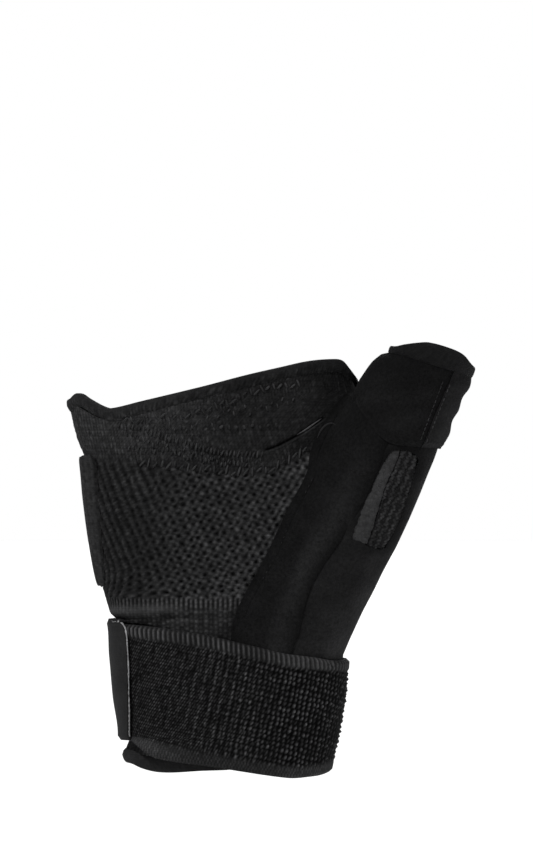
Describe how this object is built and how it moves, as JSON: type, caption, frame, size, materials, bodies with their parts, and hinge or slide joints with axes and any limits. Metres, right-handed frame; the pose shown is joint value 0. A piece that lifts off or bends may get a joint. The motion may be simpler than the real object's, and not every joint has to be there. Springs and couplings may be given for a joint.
{
  "type": "thumb spica splint",
  "caption": "Hollow knitted wrist and palm sleeve with a ring for the thumb, stay pockets, bound openings and a wide elastic wrist strap.",
  "frame": {"origin": "middle of the wrist opening, at the height of the strap's lowest edge", "axes": "+Z from the forearm to the fingers, -Y out of the palm, +X towards the thumb"},
  "size_m": [0.1263, 0.0511, 0.1336],
  "materials": {
    "sleeve_knit": "black knit with staggered open dimples over the palm",
    "hem_cloth": "black close-knit binding",
    "smooth_cloth": "black brushed velour",
    "grey_plush": "dark grey short plush",
    "strap_knit": "black elastic knit with raised loops",
    "tab_cloth": "dark grey smooth laminate with a pale cut edge"
  },
  "bodies": {
    "root": {"palm_sleeve": "sleeve_knit", "palm_hem": "hem_cloth", "cuff_hem": "hem_cloth", "ulnar_stay_pocket": "sleeve_knit", "palmar_stay_pocket": "smooth_cloth", "thumb_panel": "smooth_cloth", "window_knit": "sleeve_knit", "window_patch": "grey_plush", "thumb_strap": "smooth_cloth", "thumb_strap_end": "smooth_cloth", "thumb_hem": "hem_cloth", "wrist_strap": "strap_knit", "strap_tab": "tab_cloth"}
  },
  "joints": []
}
